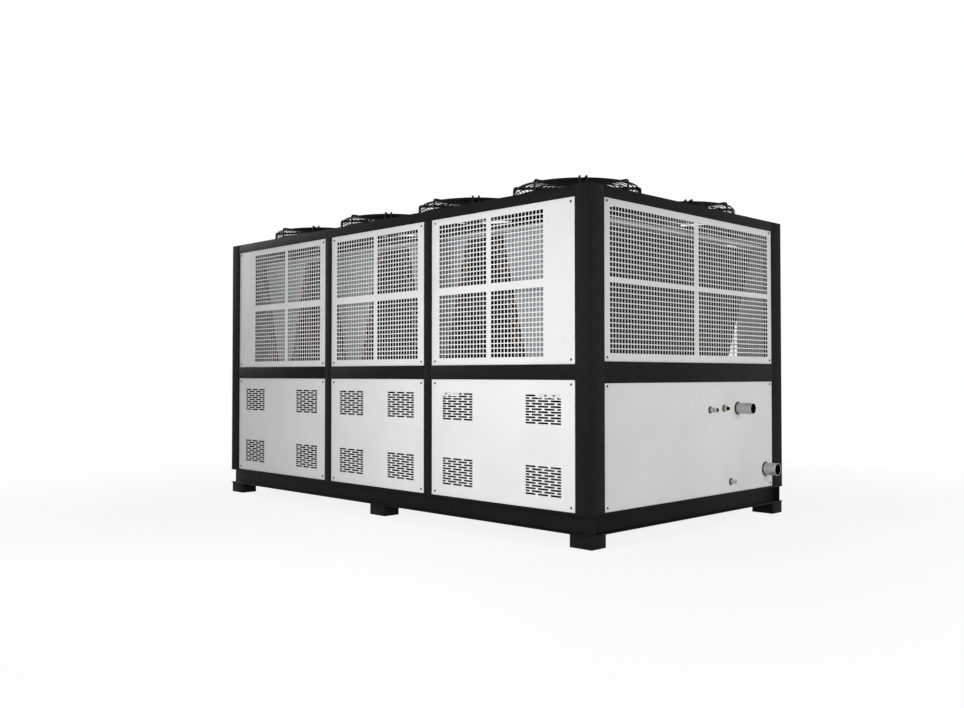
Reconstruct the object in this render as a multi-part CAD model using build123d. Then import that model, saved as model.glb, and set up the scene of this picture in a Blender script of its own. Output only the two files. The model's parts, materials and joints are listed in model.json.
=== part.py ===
from build123d import *
import math
import os

# Air-cooled water chiller with two rows of four fans on a framed housing.
# Millimetres. X runs along the housing, +X is the end with the pipe stubs.
# Y runs across it, Z is up, and the feet stand on Z = 0.

# Fans on the top deck. Their pitch and margins set the length and the width.
fans_per_row = 4
fan_pitch = 950.0
blank_end_margin = 605.0
pipe_end_margin = 545.0
fan_row_y = 583.0
deck_margin = 70.0
collar_outer = 412.0
collar_wall = 8.0
collar_height = 47.0
deck_thickness = 4.0
deck_drop = 4.0
beam_width = 50.0

# Housing
housing_height = 2139.0

# Feet
foot_length = 167.0
foot_depth = 132.0
foot_height = 78.0
foot_inset = 12.0
foot_wall = 8.0
middle_foot_x = 20.0

# Base frame of channels that open outwards
channel_height = 121.0
channel_depth = 50.0
channel_wall = 8.0
cross_width = 60.0
cross_pitch = 1000.0
floor_thickness = 5.0

# Frame of posts and rails
corner_post_side = 115.0
corner_post_end = 137.0
corner_radius = 6.0
frame_depth = 60.0
mid_post_width = 75.0
mid_post_x = 578.0
top_rail_height = 68.0
side_mid_rail_bottom = 986.0
side_mid_rail_height = 93.0
end_mid_rail_bottom = 967.0
end_mid_rail_height = 128.0

# Sheet panels, folded to trays
panel_recess = 6.5
panel_clearance = 0.3
panel_sheet = 2.0
panel_fold = 25.0
field_depth = 0.8

# Perforated fields of the upper panels. Rows and columns of small square holes
# give a field its size, and a coarse grid of openings stands for them.
hole_size = 20.0
column_pitch = 30.2
row_pitch = 30.7
field_rows = 14
side_field_columns = 15
end_field_columns = 30
side_field_bar = 491.0
end_field_bar = 957.0
outer_field_offset = 87.0
side_field_top_margin = 48.5
side_field_low_margin = 50.0
end_field_top_margin = 48.0
end_field_low_margin = 52.0
side_grid_columns = 2
end_grid_columns = 3
grid_rows = 2
grid_bar = 40.0

# Slotted vents of the lower side panels
slot_length = 78.0
slot_height = 8.0
slot_gap = 28.0
slot_row_pitch = 16.75
slot_rows = 11
vent_top_margin = 92.25
vent_low_margin = 81.25
middle_vent_spread = 286.0
outer_vent_spread = 379.0

# Fan guards, bars of few sides
guard_radius = 424.0
guard_height = 115.0
guard_wire = 6.0
guard_arm = 8.0
guard_ring_inset = 4.0
guard_plate_radius = 90.0
single_arms = (0.0, 90.0)
paired_arms = (45.0, 135.0)
pair_half_angle = 3.0

# Fan motor and rotor
motor_radius = 80.0
motor_height = 40.0
shaft_radius = 12.0
shaft_length = 40.0
shaft_clearance = 0.08
running_gap = 6.0
tip_clearance = 10.0
hub_radius = 95.0
hub_height = 46.0
hub_wall = 8.0
blade_count = 5
blade_thickness = 4.0
blade_pitch = 12.0
blade_fold = 5.0
blade_facet = 88.0
blade_trail = 95.0
blade_middle_radius = 240.0
blade_root_angles = (-34.0, 34.0)
blade_middle_angles = (-19.0, 23.0)
blade_tip_angles = (-5.0, 10.0, 24.0)

# Flat sides of the round sheet pieces
collar_sides = 24
ring_sides = 12
plate_sides = 12
motor_sides = 12
hub_sides = 15
grommet_sides = 16

# Coils in V pairs below each pair of fans
coil_bottom_half = 120.0
coil_top_half = 346.0
coil_thickness = 78.0
coil_air_gap = 162.0
end_plate = 3.0
end_plate_margin = 8.0
coil_beam_height = 30.0
coil_beam_depth = 40.0
coil_beam_gap = 50.0
partition_thickness = 4.0
partition_drop = 23.0

# Pipe stubs of the lower panel on the +X end: place, size and reach
outlet_y = 514.0
outlet_z = 783.0
outlet_diameter = 76.1
outlet_wall = 3.6
outlet_reach = 120.0
inlet_y = 890.0
inlet_z = 336.0
inlet_diameter = 88.9
inlet_wall = 4.0
inlet_reach = 98.0
groove_land = 16.0
groove_width = 9.0
groove_depth = 2.0
refill_y = 160.0
refill_z = 780.0
refill_reach = 58.0
drain_y = 416.0
drain_z = 280.0
drain_reach = 38.0
small_diameter = 33.7
small_wall = 3.2
thread_diameter = 33.25
thread_length = 20.0
valve_y = 333.0
valve_z = 786.0
valve_reach = 40.0
valve_hexagon_radius = 19.5
valve_hexagon_height = 14.0
valve_outlet_radius = 12.0
valve_outlet_length = 13.0
valve_bore_radius = 8.0
pipe_inside = 600.0
grommet_lip = 9.0
grommet_neck = 4.0
grommet_face = 5.0
pipe_fit = 0.2

# Values worked out from the sizes above
length = blank_end_margin + (fans_per_row - 1) * fan_pitch + pipe_end_margin
width = 2 * (fan_row_y + collar_outer + deck_margin + frame_depth)
fan_columns = tuple(blank_end_margin - length / 2 + i * fan_pitch for i in range(fans_per_row))
base_top = foot_height + channel_height
floor_top = base_top + floor_thickness
frame_inner_x = length / 2 - frame_depth
frame_inner_y = width / 2 - frame_depth
side_opening_outer = length / 2 - corner_post_side
end_opening_half = width / 2 - corner_post_end
top_rail_bottom = housing_height - top_rail_height
side_mid_rail_top = side_mid_rail_bottom + side_mid_rail_height
end_mid_rail_top = end_mid_rail_bottom + end_mid_rail_height
mid_opening_half = mid_post_x - mid_post_width / 2
outer_opening_inner = mid_post_x + mid_post_width / 2
outer_panel_x = (outer_opening_inner + side_opening_outer) / 2
outer_panel_width = side_opening_outer - outer_opening_inner
middle_panel_width = 2 * mid_opening_half
end_panel_width = 2 * end_opening_half
field_height = (field_rows - 1) * row_pitch + hole_size
side_field_width = (side_field_columns - 1) * column_pitch + hole_size
end_field_width = (end_field_columns - 1) * column_pitch + hole_size
vent_width = 3 * slot_length + 2 * slot_gap
vent_height = (slot_rows - 1) * slot_row_pitch + slot_height
deck_top = housing_height - deck_drop
deck_bottom = deck_top - deck_thickness
collar_inner = collar_outer - collar_wall
guard_top = housing_height + guard_height
arm_bottom = guard_top - guard_arm
motor_bottom = arm_bottom - motor_height
shaft_end = motor_bottom - shaft_length
hub_top = motor_bottom - running_gap
hub_bottom = hub_top - hub_height
blade_tip_radius = collar_inner - tip_clearance
coil_end_y = frame_inner_y - coil_beam_gap - coil_beam_depth - end_plate
coil_top_z = deck_bottom - coil_air_gap - coil_beam_height
partition_z = side_mid_rail_top - partition_drop
partition_top = partition_z + partition_thickness
grommet_depth = 2 * panel_sheet
face_x = length / 2 - panel_recess
origin_shift = -(outlet_reach - panel_recess) / 2


def bar(x0, x1, y0, y1, z0, z1):
    """A square-edged bar between two corners."""
    middle = ((x0 + x1) / 2, (y0 + y1) / 2, (z0 + z1) / 2)
    return Pos(*middle) * Box(x1 - x0, y1 - y0, z1 - z0)


def disc(radius, z0, z1):
    """A round bar about the Z axis between two heights."""
    return Pos(0, 0, (z0 + z1) / 2) * Cylinder(radius, z1 - z0)


def drum(radius, sides, z0, z1):
    """A bar with flat sides about the Z axis between two heights."""
    return Pos(0, 0, z0) * extrude(RegularPolygon(radius, sides), z1 - z0)


def polar(radius, angle):
    """A point in the XY plane from its radius and its angle in degrees."""
    turn = math.radians(angle)
    return (radius * math.cos(turn), radius * math.sin(turn))


def group(pieces):
    """Like pieces that share a node and don't touch."""
    return Compound([solid for piece in pieces for solid in piece.solids()])


# Base

def foot(x, side):
    """A welded box foot, open at the top where the channel closes it."""
    y = side * (width / 2 - foot_inset - foot_depth / 2)
    block = Pos(x, y, foot_height / 2) * Box(foot_length, foot_depth, foot_height)
    hollow = Box(foot_length - 2 * foot_wall, foot_depth - 2 * foot_wall, foot_height)
    return block - Pos(x, y, foot_height / 2 + foot_wall) * hollow


def feet():
    end = (length - foot_length) / 2
    return group(foot(x, side) for side in (-1, 1) for x in (-end, middle_foot_x, end))


def channel(run):
    """A channel along X, open towards -Y, with its flange tips at Y = 0."""
    flange = channel_depth
    web = flange - channel_wall
    outline = Polyline(
        (0, 0),
        (flange, 0),
        (flange, channel_height),
        (0, channel_height),
        (0, channel_height - channel_wall),
        (web, channel_height - channel_wall),
        (web, channel_wall),
        (0, channel_wall),
        close=True,
    )
    profile = Plane.YZ * make_face(outline)
    return Pos(-run / 2, 0, foot_height) * extrude(profile, run, dir=(1, 0, 0))


def base_side_rail(side):
    """The long channel, with its open side outwards."""
    rail = Pos(0, -width / 2, 0) * channel(length)
    return rail if side < 0 else Rot(0, 0, 180) * rail


def base_end_rails():
    """The channels across both ends, between the webs of the long ones."""
    run = width - 2 * channel_depth
    rail = Pos(0, -length / 2, 0) * channel(run)
    return group(Rot(0, 0, turn) * rail for turn in (-90, 90))


def cross_members():
    inner = width / 2 - channel_depth
    half = cross_width / 2
    places = (-cross_pitch, 0, cross_pitch)
    return group(bar(x - half, x + half, -inner, inner, foot_height, base_top) for x in places)


def floor_plate():
    return bar(-length / 2, length / 2, -width / 2, width / 2, base_top, floor_top)


# Posts and rails

def corner_post(x_side, y_side):
    """A folded L-shaped post with a rounded outer edge."""
    outline = Polyline(
        (0, 0),
        (-corner_post_side, 0),
        (-corner_post_side, -frame_depth),
        (-frame_depth, -frame_depth),
        (-frame_depth, -corner_post_end),
        (0, -corner_post_end),
        close=True,
    )
    profile = make_face(outline)
    outer_edge = profile.vertices().sort_by(lambda v: v.X + v.Y)[-1]
    profile = fillet(outer_edge, corner_radius)
    post = extrude(profile, housing_height - floor_top)
    post = Pos(length / 2, width / 2, floor_top) * post
    if x_side < 0:
        post = mirror(post, Plane.YZ)
    if y_side < 0:
        post = mirror(post, Plane.XZ)
    return post


def corner_posts():
    return group(corner_post(x_side, y_side) for x_side in (-1, 1) for y_side in (-1, 1))


def frame_side(side):
    """The inner and outer face of the frame on a long side, in rising order."""
    return sorted((side * frame_inner_y, side * width / 2))


def mid_posts():
    half = mid_post_width / 2
    return group(
        bar(x - half, x + half, *frame_side(side), floor_top, top_rail_bottom)
        for side in (-1, 1)
        for x in (-mid_post_x, mid_post_x)
    )


def side_top_rails():
    outer = side_opening_outer
    return group(
        bar(-outer, outer, *frame_side(side), top_rail_bottom, housing_height) for side in (-1, 1)
    )


def side_mid_rails(side):
    """Three rails between the posts of one long side."""
    spans = (
        (-side_opening_outer, -outer_opening_inner),
        (-mid_opening_half, mid_opening_half),
        (outer_opening_inner, side_opening_outer),
    )
    rails = [bar(x0, x1, *frame_side(side), side_mid_rail_bottom, side_mid_rail_top) for x0, x1 in spans]
    return group(rails)


def end_rails(z0, z1):
    rails = []
    for side in (-1, 1):
        x0, x1 = sorted((side * frame_inner_x, side * length / 2))
        rails.append(bar(x0, x1, -end_opening_half, end_opening_half, z0, z1))
    return group(rails)


# Panels, drawn facing -Y with the face in the plane Y = 0

def tray(panel_width, z0, z1):
    """A folded sheet panel."""
    w = panel_width - 2 * panel_clearance
    low = z0 + panel_clearance
    high = z1 - panel_clearance
    outside = bar(-w / 2, w / 2, 0, panel_fold, low, high)
    inner = w / 2 - panel_sheet
    inside = bar(-inner, inner, panel_sheet, panel_fold, low + panel_sheet, high - panel_sheet)
    return outside - inside


def patches(columns, rows, patch_width, patch_height):
    """Shallow fields that mark where the sheet is slotted."""
    half_w = patch_width / 2
    half_h = patch_height / 2
    places = [(x, z) for x in columns for z in rows]
    return [bar(x - half_w, x + half_w, 0, field_depth, z - half_h, z + half_h) for x, z in places]


def field_heights(z0, z1, low_margin, top_margin, height):
    """Centres of the lower and the upper field, set from the edges of the panel."""
    return (z0 + low_margin + height / 2, z1 - top_margin - height / 2)


def grid(x, z, columns, field_width):
    """The openings of one field, with bars between them."""
    pitch_x = (field_width + grid_bar) / columns
    pitch_z = (field_height + grid_bar) / grid_rows
    half_w = (pitch_x - grid_bar) / 2
    half_h = (pitch_z - grid_bar) / 2
    openings = []
    for i in range(columns):
        for j in range(grid_rows):
            cx = x + (i - (columns - 1) / 2) * pitch_x
            cz = z + (j - (grid_rows - 1) / 2) * pitch_z
            opening = bar(cx - half_w, cx + half_w, 0, panel_fold, cz - half_h, cz + half_h)
            openings.append(opening)
    return openings


def grille_panel(panel_width, z0, bar_pitch, field_width, columns, margins, offset=0.0):
    """An upper panel with two by two open fields."""
    panel = tray(panel_width, z0, top_rail_bottom)
    for x in (offset - bar_pitch / 2, offset + bar_pitch / 2):
        for z in field_heights(z0, top_rail_bottom, *margins, field_height):
            panel -= grid(x, z, columns, field_width)
    return panel


def vent_panel(panel_width, spread):
    """A lower side panel with four slotted vents."""
    rows = field_heights(floor_top, side_mid_rail_bottom, vent_low_margin, vent_top_margin, vent_height)
    panel = tray(panel_width, floor_top, side_mid_rail_bottom)
    return panel - patches((-spread, spread), rows, vent_width, vent_height)


def on_side(panel, x, side):
    """Sets a panel into a long side, from the front or turned to the rear."""
    placed = Pos(x, -width / 2 + panel_recess, 0) * panel
    return placed if side < 0 else mirror(placed, Plane.XZ)


def on_end(panel, x_side):
    """Sets a panel into an end, with its left edge to the left from outside."""
    placed = Pos(0, -length / 2 + panel_recess, 0) * panel
    return Rot(0, 0, 90 * x_side) * placed


def side_upper_panel(place, side):
    margins = (side_field_low_margin, side_field_top_margin)
    panel_width = outer_panel_width if place else middle_panel_width
    offset = -place * outer_field_offset
    fields = (side_field_bar, side_field_width, side_grid_columns)
    panel = grille_panel(panel_width, side_mid_rail_top, *fields, margins, offset)
    return on_side(panel, place * outer_panel_x, side)


def side_lower_panel(place, side):
    if place == 0:
        return on_side(vent_panel(middle_panel_width, middle_vent_spread), 0, side)
    return on_side(vent_panel(outer_panel_width, outer_vent_spread), place * outer_panel_x, side)


def end_upper_panel(x_side):
    margins = (end_field_low_margin, end_field_top_margin)
    fields = (end_field_bar, end_field_width, end_grid_columns)
    return on_end(grille_panel(end_panel_width, end_mid_rail_top, *fields, margins), x_side)


def end_lower_panel(x_side):
    """The plain lower panel of an end, with a hole for each stub on the +X end."""
    panel = on_end(tray(end_panel_width, floor_top, end_mid_rail_bottom), x_side)
    if x_side < 0:
        return panel
    for y, z, diameter in stub_places():
        hole = drum(diameter / 2 + pipe_fit + grommet_neck, grommet_sides, -grommet_depth, grommet_face)
        panel -= along_x(y, z) * hole
    return panel


# Top deck and fans

def fan_places():
    """The centre of each fan, front row first."""
    return [(x, y) for y in (-fan_row_y, fan_row_y) for x in fan_columns]


def top_deck():
    """The sheet under the fans, with a drawn collar round each opening."""
    collar_top = deck_top + collar_height
    deck = bar(-frame_inner_x, frame_inner_x, -frame_inner_y, frame_inner_y, deck_bottom, deck_top)
    for x, y in fan_places():
        deck += Pos(x, y, 0) * drum(collar_outer, collar_sides, deck_bottom, collar_top)
    for x, y in fan_places():
        deck -= Pos(x, y, 0) * drum(collar_inner, collar_sides, deck_bottom, collar_top)
    return deck


def deck_beams():
    """Cross beams under the deck, between the fans."""
    half = beam_width / 2
    middles = [(a + b) / 2 for a, b in zip(fan_columns, fan_columns[1:])]
    return group(
        bar(x - half, x + half, -frame_inner_y, frame_inner_y, top_rail_bottom, deck_bottom) for x in middles
    )


def guard_bow(angle):
    """A bar right across the guard, bent down at both ends to the deck."""
    outer = guard_radius
    inner = guard_radius - guard_arm
    outline = Polyline(
        (-outer, deck_top),
        (-inner, deck_top),
        (-inner, arm_bottom),
        (inner, arm_bottom),
        (inner, deck_top),
        (outer, deck_top),
        (outer, guard_top),
        (-outer, guard_top),
        close=True,
    )
    bow = extrude(Plane.XZ * make_face(outline), guard_arm / 2, both=True)
    return Rot(0, 0, angle) * bow


def guard_ring(radius):
    """A ring of wire against the underside of the bows, inside their bent ends."""
    low = arm_bottom - guard_wire
    return drum(radius, ring_sides, low, arm_bottom) - drum(radius - guard_wire, ring_sides, low, arm_bottom)


def guard():
    """Single bows along and across, and a pair of bows on each diagonal."""
    angles = list(single_arms)
    for angle in paired_arms:
        angles += [angle - pair_half_angle, angle + pair_half_angle]
    basket = drum(guard_plate_radius, plate_sides, arm_bottom, guard_top)
    for angle in angles:
        basket += guard_bow(angle)
    return basket + guard_ring(guard_radius - guard_arm - guard_ring_inset)


def motor():
    """The fixed motor under the guard plate, with its shaft pointing down."""
    body = drum(motor_radius, motor_sides, motor_bottom, arm_bottom)
    return body + disc(shaft_radius, shaft_end, motor_bottom)


def blade_sheet():
    """A sheet folded twice along its span, with its leading edge low, at +Y."""
    slopes = (blade_pitch + blade_fold, blade_pitch, blade_pitch - blade_fold)
    points = [(-blade_trail, 0.0)]
    for slope in slopes:
        y, z = points[-1]
        points.append((y + blade_facet, z - blade_facet * math.tan(math.radians(slope))))
    lift = (hub_top + hub_bottom + blade_thickness - points[1][1] - points[2][1]) / 2
    upper = [(y, z + lift) for y, z in points]
    lower = [(y, z - blade_thickness) for y, z in reversed(upper)]
    profile = Plane.YZ * make_face(Polyline(*upper, *lower, close=True))
    return extrude(profile, collar_inner, dir=(1, 0, 0))


def blade_plan():
    """The sickle outline of a blade, seen from above."""
    root_radius = hub_radius - hub_wall
    trailing = [polar(root_radius, blade_root_angles[0]), polar(blade_middle_radius, blade_middle_angles[0])]
    tip = [polar(blade_tip_radius, angle) for angle in blade_tip_angles]
    leading = [polar(blade_middle_radius, blade_middle_angles[1]), polar(root_radius, blade_root_angles[1])]
    return make_face(Polyline(*trailing, *tip, *leading, close=True))


def blade():
    return blade_sheet() & extrude(blade_plan(), guard_top)


def rotor():
    """A hub with folded sickle blades and a bore for the shaft."""
    hub = drum(hub_radius, hub_sides, hub_bottom, hub_top)
    blade_shape = blade()
    for i in range(blade_count):
        hub += Rot(0, 0, i * 360 / blade_count) * blade_shape
    bore_bottom = shaft_end - running_gap
    return hub - disc(shaft_radius + shaft_clearance, bore_bottom, hub_top)


# Coils

def coil_lean(z):
    """Half the distance between the two coils of a V at a height."""
    share = (z - partition_top) / (coil_top_z - partition_top)
    return coil_bottom_half + share * (coil_top_half - coil_bottom_half)


def coil(x, side):
    """One leaning coil, cut level at its foot and head."""
    half = coil_thickness / 2
    low = coil_lean(partition_top)
    high = coil_lean(coil_top_z)
    outline = Polyline(
        (x + side * low - half, partition_top),
        (x + side * low + half, partition_top),
        (x + side * high + half, coil_top_z),
        (x + side * high - half, coil_top_z),
        close=True,
    )
    profile = Plane.XZ * make_face(outline)
    return extrude(profile, coil_end_y, both=True)


def coils():
    return group(coil(x, side) for x in fan_columns for side in (-1, 1))


def coil_end_plates():
    """Sheets that close both ends of each V."""
    plates = []
    reach = coil_thickness / 2 + end_plate_margin
    low = coil_lean(partition_top) + reach
    high = coil_lean(coil_top_z) + reach
    for x in fan_columns:
        outline = Polyline(
            (x - low, partition_top),
            (x + low, partition_top),
            (x + high, coil_top_z + coil_beam_height),
            (x - high, coil_top_z + coil_beam_height),
            close=True,
        )
        plate = extrude(Plane.XZ * make_face(outline), end_plate)
        plates.append(Pos(0, -coil_end_y, 0) * plate)
        plates.append(Pos(0, coil_end_y + end_plate, 0) * plate)
    return group(plates)


def coil_beams():
    """Light beams round the heads of the coils."""
    z0 = coil_top_z
    z1 = coil_top_z + coil_beam_height
    inner = coil_end_y + end_plate
    outer = inner + coil_beam_depth
    end = frame_inner_x
    beams = [bar(-end, end, *sorted((s * inner, s * outer)), z0, z1) for s in (-1, 1)]
    beams += [bar(*sorted((s * (end - coil_beam_depth), s * end)), -inner, inner, z0, z1) for s in (-1, 1)]
    return group(beams)


def partition():
    return bar(-frame_inner_x, frame_inner_x, -frame_inner_y, frame_inner_y, partition_z, partition_top)


# Pipe stubs, drawn up the Z axis from the face of the panel

def stub_places():
    """Where each stub passes through the end panel, and its diameter."""
    return (
        (outlet_y, outlet_z, outlet_diameter),
        (inlet_y, inlet_z, inlet_diameter),
        (refill_y, refill_z, small_diameter),
        (valve_y, valve_z, small_diameter),
        (drain_y, drain_z, small_diameter),
    )


def along_x(y, z):
    """Turns a piece drawn up the Z axis to point out of the +X end."""
    return Pos(face_x, y, z) * Rot(0, 90, 0)


def tunnel(radius, sides, z0, z1):
    """A bar with flat sides that lie at the radius, to cut a way for a round pipe."""
    return Pos(0, 0, z0) * extrude(RegularPolygon(radius, sides, major_radius=False), z1 - z0)


def grooved_pipe(diameter, wall, reach):
    """A pipe end with the groove of a clamp coupling."""
    radius = diameter / 2
    groove_top = reach - groove_land
    groove_low = groove_top - groove_width
    groove = disc(radius, groove_low, groove_top) - disc(radius - groove_depth, groove_low, groove_top)
    return disc(radius, -pipe_inside, reach) - disc(radius - wall, -pipe_inside, reach) - groove


def threaded_pipe(reach):
    """A small pipe with the plain cylinder of its male thread at the end."""
    neck = reach - thread_length
    solid = disc(small_diameter / 2, -pipe_inside, neck) + disc(thread_diameter / 2, neck, reach)
    return solid - disc(small_diameter / 2 - small_wall, -pipe_inside, reach)


def relief_valve():
    """A round body, a hexagon and a short outlet with a blind bore."""
    outlet_low = valve_reach - valve_outlet_length
    hexagon_low = outlet_low - valve_hexagon_height
    valve = disc(small_diameter / 2, -pipe_inside, hexagon_low)
    valve += drum(valve_hexagon_radius, 6, hexagon_low, outlet_low)
    valve += disc(valve_outlet_radius, outlet_low, valve_reach)
    return valve - disc(valve_bore_radius, hexagon_low, valve_reach)


def grommets():
    """A rubber ring round each stub, seated in the panel."""
    rings = []
    for y, z, diameter in stub_places():
        bore = diameter / 2 + pipe_fit
        ring = drum(bore + grommet_lip, grommet_sides, 0, grommet_face)
        ring += drum(bore + grommet_neck, grommet_sides, -grommet_depth, 0)
        ring -= tunnel(bore, grommet_sides, -grommet_depth, grommet_face)
        rings.append(along_x(y, z) * ring)
    return group(rings)


def save(name, shape):
    export_step(Pos(origin_shift, 0, 0) * shape, os.path.join("parts", name + ".step"))


def save_frame():
    save("feet", feet())
    save("front_base_rail", base_side_rail(-1))
    save("rear_base_rail", base_side_rail(1))
    save("end_base_rails", base_end_rails())
    save("cross_members", cross_members())
    save("floor_plate", floor_plate())
    save("corner_posts", corner_posts())
    save("mid_posts", mid_posts())
    save("side_top_rails", side_top_rails())
    save("end_top_rails", end_rails(top_rail_bottom, housing_height))
    save("front_mid_rails", side_mid_rails(-1))
    save("rear_mid_rails", side_mid_rails(1))
    save("end_mid_rails", end_rails(end_mid_rail_bottom, end_mid_rail_top))


def save_panels():
    for side, side_name in ((-1, "front"), (1, "rear")):
        for place, place_name in ((-1, "left"), (0, "middle"), (1, "right")):
            save(f"{side_name}_{place_name}_grille_panel", side_upper_panel(place, side))
            save(f"{side_name}_{place_name}_vent_panel", side_lower_panel(place, side))
    for x_side, end_name in ((-1, "blank_end"), (1, "pipe_end")):
        save(f"{end_name}_grille_panel", end_upper_panel(x_side))
        save(f"{end_name}_lower_panel", end_lower_panel(x_side))


def save_fans():
    save("top_deck", top_deck())
    save("deck_beams", deck_beams())
    guard_shape = guard()
    save("fan_guards", group(Pos(x, y, 0) * guard_shape for x, y in fan_places()))
    motor_shape = motor()
    save("fan_motors", group(Pos(x, y, 0) * motor_shape for x, y in fan_places()))
    rotor_shape = rotor()
    for number, (x, y) in enumerate(fan_places(), start=1):
        save(f"fan_rotor_{number}", Pos(x, y, 0) * rotor_shape)


def save_coils():
    save("coils", coils())
    save("coil_end_plates", coil_end_plates())
    save("coil_beams", coil_beams())
    save("partition", partition())


def save_stubs():
    outlet = grooved_pipe(outlet_diameter, outlet_wall, outlet_reach)
    save("water_outlet", along_x(outlet_y, outlet_z) * outlet)
    inlet = grooved_pipe(inlet_diameter, inlet_wall, inlet_reach)
    save("water_inlet", along_x(inlet_y, inlet_z) * inlet)
    save("refill_stub", along_x(refill_y, refill_z) * threaded_pipe(refill_reach))
    save("relief_valve", along_x(valve_y, valve_z) * relief_valve())
    save("drain_stub", along_x(drain_y, drain_z) * threaded_pipe(drain_reach))
    save("grommets", grommets())


def main():
    os.makedirs("parts", exist_ok=True)
    save_frame()
    save_panels()
    save_fans()
    save_coils()
    save_stubs()


main()
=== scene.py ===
import json
import math

import bmesh
import bpy
from bpy.props import FloatProperty, FloatVectorProperty, IntProperty, PointerProperty
from bpy.types import Operator, Panel, PropertyGroup
from mathutils import Matrix, Vector


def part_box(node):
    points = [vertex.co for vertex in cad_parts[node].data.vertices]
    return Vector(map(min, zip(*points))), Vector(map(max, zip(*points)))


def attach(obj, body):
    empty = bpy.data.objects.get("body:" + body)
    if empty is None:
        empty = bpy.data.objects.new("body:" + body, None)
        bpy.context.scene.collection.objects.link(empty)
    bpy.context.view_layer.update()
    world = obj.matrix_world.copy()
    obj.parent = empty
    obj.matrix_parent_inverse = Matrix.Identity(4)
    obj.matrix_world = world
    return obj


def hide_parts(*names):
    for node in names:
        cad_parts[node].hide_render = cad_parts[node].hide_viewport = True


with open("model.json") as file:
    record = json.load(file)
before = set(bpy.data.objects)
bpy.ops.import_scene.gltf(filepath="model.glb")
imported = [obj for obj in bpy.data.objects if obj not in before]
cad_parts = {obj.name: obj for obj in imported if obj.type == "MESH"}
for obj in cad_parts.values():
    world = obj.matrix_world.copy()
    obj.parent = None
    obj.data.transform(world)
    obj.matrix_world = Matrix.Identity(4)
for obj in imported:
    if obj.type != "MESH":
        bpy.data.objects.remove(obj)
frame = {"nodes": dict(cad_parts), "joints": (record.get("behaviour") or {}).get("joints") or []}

bl_info = {
    "name": "Air-cooled water chiller",
    "version": (1, 0, 0),
    "blender": (4, 5, 0),
    "location": "View3D > Sidebar > Chiller",
    "description": "Dresses the framed chiller with its perforated panels, fans, coils and pipe stubs",
    "category": "Add Mesh",
}

# Places that come from the frame
HOUSING = "housing"
FAN_AXES = [Vector(joint["pos_m"]) for joint in frame["joints"]]
PANEL_TURN = {"front": 0, "pipe_end": 90, "rear": 180, "blank_end": -90}
SIDE_PLACES = {"left": -1, "middle": 0, "right": 1}
FRAME_NODES = (
    "feet", "front_base_rail", "rear_base_rail", "end_base_rails", "cross_members", "floor_plate",
    "corner_posts", "mid_posts", "side_top_rails", "end_top_rails", "front_mid_rails",
    "rear_mid_rails", "end_mid_rails",
)
VALVE_BODY = 0.01685


def length(name, description, default):
    """A size in metres that the sidebar can change."""
    return FloatProperty(name=name, description=description, default=default, subtype="DISTANCE", unit="LENGTH")


def colour(name, description, default):
    """A linear colour that the sidebar can change."""
    return FloatVectorProperty(
        name=name, description=description, default=default, subtype="COLOR", size=3, min=0, max=1
    )


class ChillerPanels(PropertyGroup):
    sheet: length("Sheet", "Thickness of the panel sheet", 0.0012)
    bend: length("Bend", "Outer radius of the folded panel edges", 0.003)
    hole: length("Hole", "Side of one square hole", 0.024)
    hole_corner: length("Hole corner", "Cut across the corners of a hole", 0.0018)
    column_pitch: length("Column pitch", "Distance between hole columns", 0.0302)
    row_pitch: length("Row pitch", "Distance between hole rows", 0.0307)
    rows: IntProperty(name="Rows", description="Hole rows in a field", default=14)
    side_columns: IntProperty(name="Side columns", description="Hole columns in a side field", default=15)
    end_columns: IntProperty(name="End columns", description="Hole columns in an end field", default=30)
    side_field_pitch: length("Side field pitch", "Between the fields of a side panel", 0.491)
    end_field_pitch: length("End field pitch", "Between the fields of an end panel", 0.957)
    outer_offset: length("Outer offset", "Shift of the outer fields to the middle", 0.087)
    side_upper: length("Side upper fields", "Height of their centre", 1.813)
    side_lower: length("Side lower fields", "Height of their centre", 1.3385)
    end_upper: length("End upper fields", "Height of their centre", 1.8135)
    end_lower: length("End lower fields", "Height of their centre", 1.3565)
    slot_length: length("Slot", "Length of a vent slot", 0.0845)
    slot_height: length("Slot height", "Height of a vent slot", 0.0112)
    slot_gap: length("Slot gap", "Sheet between two slots", 0.01825)
    slot_pitch: length("Slot row pitch", "Distance between slot rows", 0.01675)
    slot_rows: IntProperty(name="Slot rows", description="Rows in a vent", default=11)
    vent_upper: length("Upper vents", "Height of their centre", 0.806)
    vent_lower: length("Lower vents", "Height of their centre", 0.373)
    middle_spread: length("Middle spread", "Vents from the middle of a middle panel", 0.286)
    outer_spread: length("Outer spread", "Vents from the middle of an outer panel", 0.379)
    screw_head: length("Screw head", "Radius of a panel screw", 0.0062)
    screw_side: length("Screw inset", "Side screws from the opening's upright edges", 0.034)
    screw_side_height: length("Screw height inset", "Side screws from the opening's level edges", 0.027)
    screw_end: length("End screw inset", "End screws from the opening's upright edges", 0.031)
    screw_end_top: length("End screw top", "End screws below the top edge", 0.019)
    screw_end_low: length("End screw foot", "End screws above the lower edge", 0.025)


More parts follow.
